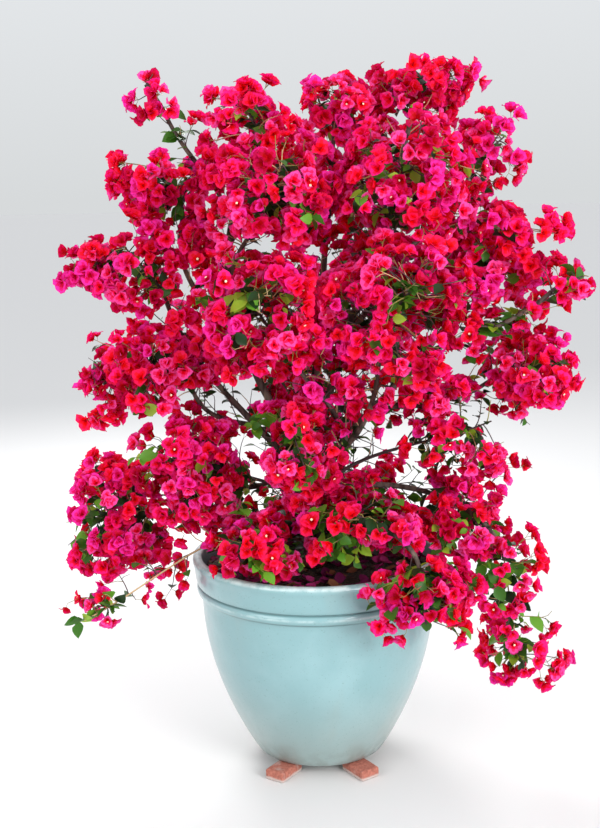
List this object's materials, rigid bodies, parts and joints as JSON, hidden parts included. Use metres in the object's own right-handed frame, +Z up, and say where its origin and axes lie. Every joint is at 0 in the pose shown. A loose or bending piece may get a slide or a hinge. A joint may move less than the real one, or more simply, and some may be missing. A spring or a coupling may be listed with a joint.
{
  "type": "potted flowering shrub",
  "caption": "Bougainvillea bush in full magenta bloom with arching and trailing sprays, growing in a round pale aqua glazed pot raised on brick feet.",
  "frame": {"origin": "on the pot's axis at ground level, under the middle of the plant's spread, where the feet stand", "axes": "+Z up, -Y towards the viewer of the picture, +X to the viewer's right"},
  "size_m": [1.4693, 0.9796, 1.9383],
  "materials": {
    "glazed_pot": "pale aqua gloss glaze",
    "soil": "moist dark potting soil",
    "brick": "orange brick, matt and chipped",
    "bark": "grey brown bark",
    "blossom": "papery magenta bracts, leaves and twigs"
  },
  "bodies": {
    "root": {"pot": "glazed_pot", "soil": "soil", "foot_front_right": "brick", "foot_front_left": "brick", "foot_back_right": "brick", "foot_back_left": "brick", "trunk": "bark", "bough_crown_top_middle": "bark", "bough_crown_top_left": "bark", "bough_crown_top_right": "bark", "bough_shoulder_right": "bark", "bough_shoulder_left": "bark", "bough_spray_top_left": "bark", "bough_arm_left_high": "bark", "bough_arm_left_middle": "bark", "bough_side_right_high": "bark", "bough_spray_right": "bark", "bough_arm_right": "bark", "bough_skirt_left_far": "bark", "bough_trail_right": "bark", "bough_front_middle_right": "bark", "bough_front_upper_left": "bark", "bough_front_upper_right": "bark", "bough_front_middle_left": "bark", "bough_back_middle_right": "bark", "bough_back_upper_left": "bark", "bough_back_upper_right": "bark", "bough_back_middle_left": "bark", "bough_rim_spray_right": "bark", "foliage_crown_top_middle": "blossom", "foliage_crown_top_left": "blossom", "foliage_crown_top_right": "blossom", "foliage_shoulder_right": "blossom", "foliage_shoulder_left": "blossom", "foliage_spray_top_left": "blossom", "foliage_arm_left_high": "blossom", "foliage_arm_left_middle": "blossom", "foliage_side_right_high": "blossom", "foliage_spray_right": "blossom", "foliage_arm_right": "blossom", "foliage_side_right_low": "blossom", "foliage_skirt_left": "blossom", "foliage_skirt_left_far": "blossom", "foliage_skirt_right": "blossom", "foliage_trail_left": "blossom", "foliage_trail_right": "blossom", "foliage_front_middle_right": "blossom", "foliage_front_upper_left": "blossom", "foliage_front_upper_right": "blossom", "foliage_front_middle_left": "blossom", "foliage_front_low_left": "blossom", "foliage_front_low": "blossom", "foliage_back_middle_right": "blossom", "foliage_back_upper_left": "blossom", "foliage_back_upper_right": "blossom", "foliage_back_middle_left": "blossom", "foliage_back_low_left": "blossom", "foliage_back_low": "blossom", "foliage_rim_spray_left": "blossom", "foliage_rim_spray_right": "blossom"}
  },
  "joints": []
}
